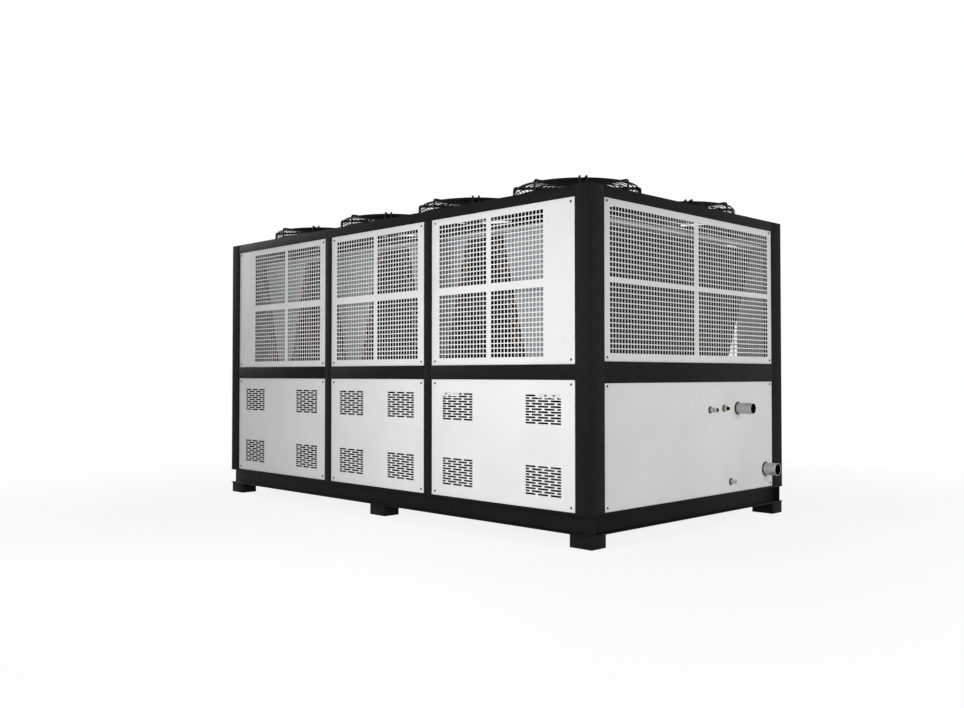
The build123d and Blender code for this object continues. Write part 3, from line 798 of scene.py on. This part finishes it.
class CHILLER_OT_guards(Operator):
    """Makes the wire guard over each fan"""
    bl_idname = "chiller.guards"
    bl_label = "Fan guards"

    def execute(self, context):
        fans = context.scene.chiller_fans
        low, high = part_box("fan_guards")
        rim = FAN_AXES[0].x - low.x
        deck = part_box("top_deck")[0].z + fans.deck_sheet
        wire = fans.wire / 2
        plane = high.z - fans.arm - wire + 0.0008
        for number, axis in enumerate(FAN_AXES, start=1):
            bm = bmesh.new()
            middle = Vector((axis.x, axis.y, 0))
            for angle in arm_angles(fans):
                guard_arm(bm, axis, angle, fans, high.z, deck, rim)
                foot = middle + (rim - fans.arm / 2) * Vector((math.cos(angle), math.sin(angle), 0))
                lathe(bm, [(0.011, deck), (0.011, deck + 0.002), (0.0045, deck + 0.0035)],
                      Matrix.Translation((foot.x, foot.y, 0)), 12)
            radius = fans.first_ring
            while radius < rim - 0.014:
                tube(bm, circle(middle + Vector((0, 0, plane)), radius, 72), wire, 6, closed=True)
                radius += fans.ring_pitch
            inside = rim - fans.arm - wire + 0.0008
            for height in (plane - 0.010, plane - 0.037, deck + 0.030):
                tube(bm, circle(middle + Vector((0, 0, height)), inside, 80), wire, 6, closed=True)
            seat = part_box("fan_motors")[1].z
            bottom = seat - fans.guard_plate
            lathe(bm, [(0, bottom), (fans.plate - 0.001, bottom), (fans.plate, bottom + 0.001),
                       (fans.plate, seat - 0.001), (fans.plate - 0.001, seat), (0, seat)],
                  Matrix.Translation(middle), 40)
            for k in range(4):
                a = math.radians(22.5 + 90 * k)
                bolt(bm, middle + Vector((0.062 * math.cos(a), 0.062 * math.sin(a), seat)), 0.0045)
            add_piece(f"fan_guard_{number}", bm, ["guard_black"], stands_for=["fan_guards"])
        return {"FINISHED"}


class CHILLER_OT_motors(Operator):
    """Makes the ribbed motor under each guard plate"""
    bl_idname = "chiller.motors"
    bl_label = "Fan motors"

    def execute(self, context):
        fans = context.scene.chiller_fans
        low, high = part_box("fan_motors")
        bm = bmesh.new()
        ribs = 24
        body_low = low.z + fans.shaft_drop
        body_high = high.z - fans.guard_plate
        core = fans.motor - 0.007
        profile = [(0, body_high), (fans.motor, body_high), (fans.motor, body_high - 0.004),
                   (core, body_high - 0.007), (core, body_low + 0.006), (core - 0.006, body_low), (0, body_low)]
        for axis in FAN_AXES:
            place = Matrix.Translation((axis.x, axis.y, 0))
            lathe(bm, profile, place, 48)
            lathe(bm, [(fans.shaft, body_low), (fans.shaft, low.z), (0, low.z)], place, 24)
            for k in range(ribs):
                turn = place @ Matrix.Rotation(2 * math.pi * k / ribs, 4, "Z")
                block(bm, (core - 0.002, -0.0013, body_low + 0.004),
                      (fans.motor - 0.0005, 0.0013, body_high - 0.005), turn)
        add_piece("ribbed_motors", bm, ["motor_black"], stands_for=["fan_motors"])
        return {"FINISHED"}


def blade_section(fans, share):
    """Radius, chord, pitch, sweep and thickness of a blade at a share of its span."""
    radius = fans.hub - 0.006 + share * (fans.tip - fans.hub + 0.006)
    chord = fans.root_chord + (fans.tip_chord - fans.root_chord) * share ** 0.8
    pitch = math.radians(27 - 18 * share ** 0.7)
    sweep = 0.16 * share ** 2 - 0.05 * share
    thickness = 0.007 - 0.004 * share
    return radius, chord, pitch, sweep, thickness


def add_blade(bm, fans, middle_z, turn):
    """A sickle blade with a thin cambered section that follows the circle of its radius."""
    stations = 12
    points = 9
    top_rows = []
    low_rows = []
    for s in range(stations + 1):
        radius, chord, pitch, sweep, thickness = blade_section(fans, s / stations)
        top = []
        low = []
        for p in range(points):
            u = p / (points - 1)
            along = (u - 0.5) * chord
            camber = 0.09 * chord * 4 * u * (1 - u)
            half = thickness / 2 * math.sqrt(max(u * (1 - u) * 4, 0.0)) ** 0.7 + 0.0003
            for row, side in ((top, 1), (low, -1)):
                across = camber + side * half
                flat = along * math.cos(pitch) - across * math.sin(pitch)
                rise = along * math.sin(pitch) + across * math.cos(pitch)
                angle = sweep + flat / radius
                point = Vector((radius * math.cos(angle), radius * math.sin(angle), middle_z + rise - 0.010))
                row.append(bm.verts.new(turn @ point))
        top_rows.append(top)
        low_rows.append(low)
    for s in range(stations):
        bridge(bm, top_rows[s], top_rows[s + 1], closed=False)
        bridge(bm, low_rows[s], low_rows[s + 1], closed=False)
        for p in (0, points - 1):
            bm.faces.new((top_rows[s][p], top_rows[s + 1][p], low_rows[s + 1][p], low_rows[s][p]))
    for s in (0, stations):
        bridge(bm, top_rows[s], low_rows[s], closed=False)


class CHILLER_OT_rotors(Operator):
    """Makes the rotor of each fan with its swept blades"""
    bl_idname = "chiller.rotors"
    bl_label = "Fan rotors"

    def execute(self, context):
        fans = context.scene.chiller_fans
        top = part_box("fan_motors")[0].z + fans.shaft_drop - fans.running_gap
        foot = top - fans.hub_height
        middle_z = (top + foot) / 2
        for number, axis in enumerate(FAN_AXES, start=1):
            bm = bmesh.new()
            place = Matrix.Translation((axis.x, axis.y, 0))
            bore = fans.shaft + 0.0002
            lathe(bm, [(bore, foot + 0.008), (bore, top), (0.028, top), (0.030, top - 0.004), (0.052, top - 0.005),
                       (0.072, top - 0.001), (0.086, top - 0.004), (fans.hub, top - 0.014), (fans.hub, foot + 0.004),
                       (fans.hub - 0.004, foot), (0.05, foot), (0.045, foot + 0.004), (bore, foot + 0.004)],
                  place, 48, closed=True)
            for k in range(fans.blades):
                turn = place @ Matrix.Rotation(2 * math.pi * k / fans.blades, 4, "Z")
                add_blade(bm, fans, middle_z, turn)
            for k in range(6):
                a = math.pi / 3 * k
                bolt(bm, Vector((axis.x + 0.041 * math.cos(a), axis.y + 0.041 * math.sin(a), top - 0.0045)), 0.004)
            add_piece(f"bladed_rotor_{number}", bm, ["rotor_grey"], body=f"rotor_{number}",
                      stands_for=[f"fan_rotor_{number}"], crease=40)
        return {"FINISHED"}


# Coils

def lean(coils, z, low, high):
    """Distance of a coil's middle from the middle of its pair at a height."""
    share = (z - low) / (high - low)
    return coils.bottom_half + share * (coils.top_half - coils.bottom_half)


def upright_plate(bm, corners, y0, y1):
    """A plate that stands across Y, from corner points in X and Z."""
    front = [bm.verts.new((x, y0, z)) for x, z in corners]
    back = [bm.verts.new((x, y1, z)) for x, z in corners]
    bm.faces.new(front)
    bm.faces.new(reversed(back))
    bridge(bm, front, back)


def return_bend(verts, faces, start, end, out, radius):
    """Adds one copper U bend between two tube ends."""
    sides = 6
    steps = 6
    middle = (start + end) / 2
    half = (end - start) / 2
    reach = half.length
    points = [start - out * 0.004]
    for k in range(steps + 1):
        t = math.pi * k / steps
        points.append(middle - half * math.cos(t) + out * (0.004 + reach * math.sin(t)))
    points.append(end - out * 0.004)
    first = len(verts)
    for i, point in enumerate(points):
        along = (points[min(i + 1, len(points) - 1)] - points[max(i - 1, 0)]).normalized()
        across = half.cross(out).normalized()
        other = along.cross(across)
        for k in range(sides):
            a = 2 * math.pi * k / sides
            verts.append(point + radius * (math.cos(a) * across + math.sin(a) * other))
    for i in range(len(points) - 1):
        for k in range(sides):
            a = first + i * sides + k
            b = first + i * sides + (k + 1) % sides
            faces.append((a, b, b + sides, a + sides))


class CHILLER_OT_coils(Operator):
    """Makes the end sheets and return bends of the coils"""
    bl_idname = "chiller.coils"
    bl_label = "Coils"

    def execute(self, context):
        coils = context.scene.chiller_coils
        low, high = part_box("coils")
        end_low, end_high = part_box("coil_end_plates")
        columns = sorted({round(axis.x, 6) for axis in FAN_AXES})
        half = coils.thickness / 2
        plates = bmesh.new()
        bands = bmesh.new()
        verts = []
        faces = []
        skin = 0.003
        for x in columns:
            for side, y0, y1 in ((-1, end_low.y, low.y), (1, high.y, end_high.y)):
                foot = lean(coils, low.z, low.z, high.z) - half
                head = lean(coils, high.z, low.z, high.z) - half
                upright_plate(plates, ((x - foot, low.z), (x + foot, low.z), (x + head, high.z + 0.012),
                                       (x - head, high.z + 0.012)), y0, y1)
                out = Vector((0, side, 0))
                face_y = end_low.y if side < 0 else end_high.y
                for hand in (-1, 1):
                    inner_low = x + hand * (foot + 0.001)
                    outer_low = x + hand * (foot + coils.thickness + 0.006)
                    inner_high = x + hand * (head + 0.001)
                    outer_high = x + hand * (head + coils.thickness + 0.006)
                    upright_plate(bands, ((inner_low, low.z), (outer_low, low.z), (outer_high, high.z),
                                          (inner_high, high.z)), *sorted((face_y, face_y - side * skin)))
                    base = Vector((x + hand * (foot + half), face_y, low.z))
                    head_point = Vector((x + hand * (head + half), face_y, high.z))
                    run = head_point - base
                    step = run.normalized() * coils.tube_pitch
                    count = int(run.length / coils.tube_pitch)
                    for row in range(coils.tube_rows):
                        shift = Vector(((row - (coils.tube_rows - 1) / 2) * coils.thickness / coils.tube_rows, 0, 0))
                        for k in range(row % 2, count - 1, 2):
                            start = base + shift + step * (k + 0.7)
                            return_bend(verts, faces, start, start + step, out, coils.tube)
        add_piece("coil_pair_sheets", plates, ["galvanised"], stands_for=["coil_end_plates"])
        # The tube sheets are near black: painted shade where the coil ends lie in shadow.
        add_piece("coil_tube_sheets", bands, ["tube_sheets_painted_shade"])
        mesh = bmesh.new()
        made = [mesh.verts.new(point) for point in verts]
        for face in faces:
            mesh.faces.new([made[i] for i in face])
        add_piece("coil_return_bends", mesh, ["copper"], crease=80, solid=False)
        # The coil block takes the fins' painted shade colour.
        dress_node("coils", "coil_fins")
        return {"FINISHED"}


class CHILLER_OT_interior(Operator):
    """Finishes the beams and the partition behind the panels"""
    bl_idname = "chiller.interior"
    bl_label = "Beams and partition"

    def execute(self, context):
        softened_copy("coil_beams", 0.002, "galvanised", "zinc_coil_beams")
        softened_copy("deck_beams", 0.002, "frame_black", "deck_cross_beams")
        softened_copy("partition", 0.001, "frame_black", "partition_sheet")
        self.backing()
        self.evaporator()
        return {"FINISHED"}

    def backing(self):
        """A plain sheet close behind the holes of the blank end, which let no light through."""
        low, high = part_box("blank_end_grille_panel")
        bm = bmesh.new()
        gap = 0.012
        sheet = 0.0015
        edge = 0.006
        block(bm, (high.x + gap, low.y + edge, low.z + edge), (high.x + gap + sheet, high.y - edge, high.z - edge))
        add_piece("blank_end_backing_sheet", bm, ["galvanised"])

    def evaporator(self):
        """The foam-clad barrel on its saddles, which darkens the view through the vents."""
        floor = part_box("floor_plate")[1].z
        radius = 0.235
        start = -1.55
        run = 2.70
        y = -0.06
        z = 0.60
        crown = 0.07
        bm = bmesh.new()
        place = Matrix.Translation((start, y, z)) @ Matrix.Rotation(math.pi / 2, 4, "Y")
        steps = 5
        turns = [math.pi / 2 * k / steps for k in range(steps + 1)]
        profile = [(radius * math.sin(a), crown - crown * math.cos(a)) for a in turns]
        profile += [(radius * math.cos(a), run - crown + crown * math.sin(a)) for a in turns]
        lathe(bm, profile, place, 48)
        for x in (start + 0.5, start + run - 0.5):
            for side in (-1, 1):
                block(bm, (x - 0.03, y + side * 0.16 - 0.012, floor), (x + 0.03, y + side * 0.16 + 0.012, z - 0.14))
            block(bm, (x - 0.04, y - 0.20, floor), (x + 0.04, y + 0.20, floor + 0.008))
        add_piece("evaporator_barrel", bm, ["foam"])


# Pipe stubs

def stub_line(node):
    """Place, radius and both ends of a stub, which runs along X."""
    low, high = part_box(node)
    radius = VALVE_BODY if node == "relief_valve" else (high.y - low.y) / 2
    return (low.y + high.y) / 2, (low.z + high.z) / 2, radius, low.x, high.x


def stub_place(node):
    """The axis of a stub, with its foot at the inner end."""
    y, z, _, inner, _ = stub_line(node)
    return Matrix.Translation((inner, y, z)) @ Matrix.Rotation(math.pi / 2, 4, "Y")


def grooved_end(radius, run):
    """Outline of a pipe end with a groove behind its land, for a coupling."""
    land = 0.016
    width = 0.009
    root = radius - 0.002
    return [(radius, run - land - width), (root, run - land - width + 0.0004), (root, run - land - 0.0004),
            (radius, run - land), (radius, run - 0.0012), (radius - 0.001, run)]


def threaded_end(radius, run):
    """Outline of a pipe end with a thread, ridge by ridge."""
    ridges = 8
    pitch = 0.0023
    crest = radius - 0.0003
    root = crest - 0.0013
    start = run - ridges * pitch - 0.0012
    outline = [(radius, start)]
    for k in range(ridges):
        z = start + k * pitch
        outline += [(root, z + 0.0006), (crest, z + 0.0016), (crest, z + 0.0019)]
    return outline + [(root, run)]


def add_pipe(name, node, wall, end, segments=48, plug=False):
    """A steel stub with its bore painted near black as shade, or with a plug in it."""
    _, _, radius, inner, outer = stub_line(node)
    bm = bmesh.new()
    run = outer - inner
    bore = radius - wall
    profile = [(bore, 0), (radius, 0)] + end(radius, run) + [(bore + 0.0008, run), (bore, run - 0.001)]
    # The last band, the bore, takes the painted shade.
    marks = [0] * (len(profile) - 1) + [1]
    place = stub_place(node)
    lathe(bm, profile, place, segments, closed=True, materials=marks)
    if plug:
        face = run - 0.002
        lathe(bm, [(0, face - 0.014), (bore - 0.0002, face - 0.014), (bore - 0.0002, face - 0.001),
                   (bore - 0.0012, face), (0.0072, face), (0.0068, face - 0.006), (0, face - 0.006)], place, segments)
    add_piece(name, bm, ["pipe_steel", "pipe_bore_painted_shade"], stands_for=[node])


class CHILLER_OT_pipes(Operator):
    """Makes the pipe stubs, the relief valve and the rubber grommets"""
    bl_idname = "chiller.pipes"
    bl_label = "Pipe stubs"

    def execute(self, context):
        add_pipe("outlet_pipe", "water_outlet", 0.0036, grooved_end)
        add_pipe("inlet_pipe", "water_inlet", 0.004, grooved_end)
        add_pipe("refill_pipe", "refill_stub", 0.0032, threaded_end, 32)
        add_pipe("drain_pipe", "drain_stub", 0.0032, threaded_end, 32, plug=True)
        self.valve()
        self.grommets()
        return {"FINISHED"}

    def valve(self):
        """A steel body, a brass hexagon and a short outlet in the near-black colour that stands for shade in the
        bores.
        """
        _, _, radius, inner, outer = stub_line("relief_valve")
        run = outer - inner
        place = stub_place("relief_valve")
        bm = bmesh.new()
        lathe(bm, [(0, 0), (radius, 0), (radius, run - 0.028), (radius - 0.001, run - 0.027), (0, run - 0.027)],
              place, 32)
        corner = 0.0195
        lathe(bm, [(0, run - 0.0268), (corner - 0.0015, run - 0.0268), (corner, run - 0.0255),
                   (corner, run - 0.0145), (corner - 0.0015, run - 0.013), (0, run - 0.013)], place, 6,
              materials=[1] * 5)
        # The outlet takes the bores' painted shade colour.
        lathe(bm, [(0, run - 0.0129), (0.012, run - 0.0129), (0.012, run - 0.001), (0.0113, run),
                   (0.0083, run), (0.008, run - 0.010), (0, run - 0.010)],
              place, 24, materials=[2] * 6)
        add_piece("relief_valve_body", bm, ["pipe_steel", "brass", "pipe_bore_painted_shade"],
                  stands_for=["relief_valve"])

    def grommets(self):
        """Rubber rings with a rounded lip, seated in the panel."""
        bm = bmesh.new()
        low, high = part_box("grommets")
        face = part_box("pipe_end_lower_panel")[1].x
        for node in ("water_outlet", "water_inlet", "refill_stub", "relief_valve", "drain_stub"):
            y, z, radius, _, _ = stub_line(node)
            place = Matrix.Translation((face, y, z)) @ Matrix.Rotation(math.pi / 2, 4, "Y")
            bore = radius + 0.0002
            lip = radius + 0.0065
            neck = radius + 0.004
            proud = high.x - face
            lathe(bm, [(bore, low.x - face), (neck, low.x - face), (neck, 0), (lip, 0), (lip + 0.0002, 0.001),
                       (lip, 0.0028), (lip - 0.001, proud - 0.0005), (lip - 0.0025, proud), (bore + 0.0015, proud),
                       (bore, proud - 0.001)], place, 40, closed=True)
        add_piece("rubber_grommets", bm, ["rubber"], stands_for=["grommets"])


# Stage

def area_lamp(name, place, target, size, power):
    """A soft square lamp that looks at a point."""
    data = bpy.data.lights.new(name, "AREA")
    data.shape = "RECTANGLE"
    data.size, data.size_y = size
    data.energy = power
    lamp = bpy.data.objects.new(name, data)
    lamp.location = place
    lamp.rotation_euler = (Vector(target) - Vector(place)).to_track_quat("-Z", "Y").to_euler()
    bpy.context.scene.collection.objects.link(lamp)
    return lamp


def seen_rays(tree):
    """One for rays from the camera and for those that gloss and glass send on."""
    path = tree.nodes.new("ShaderNodeLightPath")
    total = path.outputs["Is Camera Ray"]
    for name in ("Is Glossy Ray", "Is Transmission Ray"):
        node = tree.nodes.new("ShaderNodeMath")
        node.operation = "MAXIMUM"
        tree.links.new(total, node.inputs[0])
        tree.links.new(path.outputs[name], node.inputs[1])
        total = node.outputs[0]
    return total


def floor_material():
    """White ground that still keeps the shadow of the object."""
    material = bpy.data.materials.new("studio_floor")
    material.use_nodes = True
    tree = material.node_tree
    shader = tree.nodes["Principled BSDF"]
    shader.inputs["Base Color"].default_value = (0.82, 0.82, 0.82, 1)
    shader.inputs["Roughness"].default_value = 0.9
    shader.inputs["Specular IOR Level"].default_value = 0.1
    glow = tree.nodes.new("ShaderNodeEmission")
    glow.inputs["Color"].default_value = (1, 1, 1, 1)
    glow.inputs["Strength"].default_value = 1.0
    place = tree.nodes.new("ShaderNodeTexCoord").outputs["Object"]
    away = tree.nodes.new("ShaderNodeVectorMath")
    away.operation = "LENGTH"
    tree.links.new(place, away.inputs[0])
    share = tree.nodes.new("ShaderNodeMath")
    share.operation = "MULTIPLY"
    tree.links.new(spread(tree, away.outputs["Value"], 0.87, 1.0, 2.5, 5.5), share.inputs[1])
    tree.links.new(seen_rays(tree), share.inputs[0])
    mix = tree.nodes.new("ShaderNodeMixShader")
    tree.links.new(share.outputs[0], mix.inputs[0])
    tree.links.new(shader.outputs[0], mix.inputs[1])
    tree.links.new(glow.outputs[0], mix.inputs[2])
    tree.links.new(mix.outputs[0], tree.nodes["Material Output"].inputs["Surface"])
    return material


def white_world(strength):
    """Even light from all around, white where it is looked at."""
    world = bpy.data.worlds.new("studio")
    bpy.context.scene.world = world
    world.use_nodes = True
    tree = world.node_tree
    tree.nodes.clear()
    even = tree.nodes.new("ShaderNodeBackground")
    even.inputs["Color"].default_value = (1, 1, 1, 1)
    even.inputs["Strength"].default_value = strength
    white = tree.nodes.new("ShaderNodeBackground")
    white.inputs["Color"].default_value = (1, 1, 1, 1)
    mix = tree.nodes.new("ShaderNodeMixShader")
    output = tree.nodes.new("ShaderNodeOutputWorld")
    tree.links.new(seen_rays(tree), mix.inputs[0])
    tree.links.new(even.outputs[0], mix.inputs[1])
    tree.links.new(white.outputs[0], mix.inputs[2])
    tree.links.new(mix.outputs[0], output.inputs["Surface"])


class CHILLER_OT_stage(Operator):
    """Sets the floor, the lamps and the camera"""
    bl_idname = "chiller.stage"
    bl_label = "Stage"

    def execute(self, context):
        stage = context.scene.chiller_stage
        bm = bmesh.new()
        reach = 40.0
        corners = [bm.verts.new((x, y, 0)) for x, y in ((-reach, -reach), (reach, -reach), (reach, reach), (-reach, reach))]
        bm.faces.new(corners)
        mesh = bpy.data.meshes.new("studio_floor")
        bm.to_mesh(mesh)
        bm.free()
        mesh.materials.append(floor_material())
        floor = bpy.data.objects.new("studio_floor", mesh)
        context.scene.collection.objects.link(floor)
        white_world(stage.sky)
        area_lamp("key_lamp", (1.5, -4.2, 1.5), (0.8, -1.1, 1.1), (2.4, 2.0), stage.key_power)
        area_lamp("end_lamp", (6.2, 0.4, 1.6), (1.9, -0.1, 1.1), (2.6, 2.2), stage.end_power)
        area_lamp("rear_lamp", (-3.0, 6.0, 3.2), (-0.2, 1.1, 1.1), (3.0, 2.4), stage.back_power)
        area_lamp("far_end_lamp", (-6.6, -1.4, 3.2), (-2.0, 0.0, 1.1), (3.0, 2.4), stage.back_power)
        data = bpy.data.cameras.new("camera")
        data.lens = stage.lens
        data.sensor_width = 36.0
        data.clip_end = 200.0
        camera = bpy.data.objects.new("camera", data)
        camera.location = stage.camera_place
        camera.rotation_euler = (math.pi / 2 + stage.camera_rise, 0, stage.camera_turn)
        context.scene.collection.objects.link(camera)
        context.scene.camera = camera
        context.scene.view_settings.view_transform = "Standard"
        return {"FINISHED"}


class CHILLER_PT_build(Panel):
    """Lists the chiller's pieces and its stage"""
    bl_label = "Water chiller"
    bl_idname = "CHILLER_PT_build"
    bl_space_type = "VIEW_3D"
    bl_region_type = "UI"
    bl_category = "Chiller"

    def draw(self, context):
        for operator in OPERATORS:
            self.layout.operator(operator.bl_idname)


GROUPS = {
    "chiller_panels": ChillerPanels,
    "chiller_fans": ChillerFans,
    "chiller_coils": ChillerCoils,
    "chiller_colours": ChillerColours,
    "chiller_stage": ChillerStage,
}
OPERATORS = (
    CHILLER_OT_frame,
    CHILLER_OT_grille_panels,
    CHILLER_OT_lower_panels,
    CHILLER_OT_screws,
    CHILLER_OT_deck,
    CHILLER_OT_guards,
    CHILLER_OT_motors,
    CHILLER_OT_rotors,
    CHILLER_OT_coils,
    CHILLER_OT_interior,
    CHILLER_OT_pipes,
    CHILLER_OT_stage,
)


def register():
    for name, group in GROUPS.items():
        bpy.utils.register_class(group)
        setattr(bpy.types.Scene, name, PointerProperty(type=group))
    for cls in (*OPERATORS, CHILLER_PT_build):
        bpy.utils.register_class(cls)


def unregister():
    for cls in reversed((*OPERATORS, CHILLER_PT_build)):
        bpy.utils.unregister_class(cls)
    for name, group in GROUPS.items():
        delattr(bpy.types.Scene, name)
        bpy.utils.unregister_class(group)


def main():
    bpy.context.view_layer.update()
    register()
    for operator in OPERATORS:
        group, name = operator.bl_idname.split(".")
        getattr(getattr(bpy.ops, group), name)()


if __name__ == "__main__":
    main()
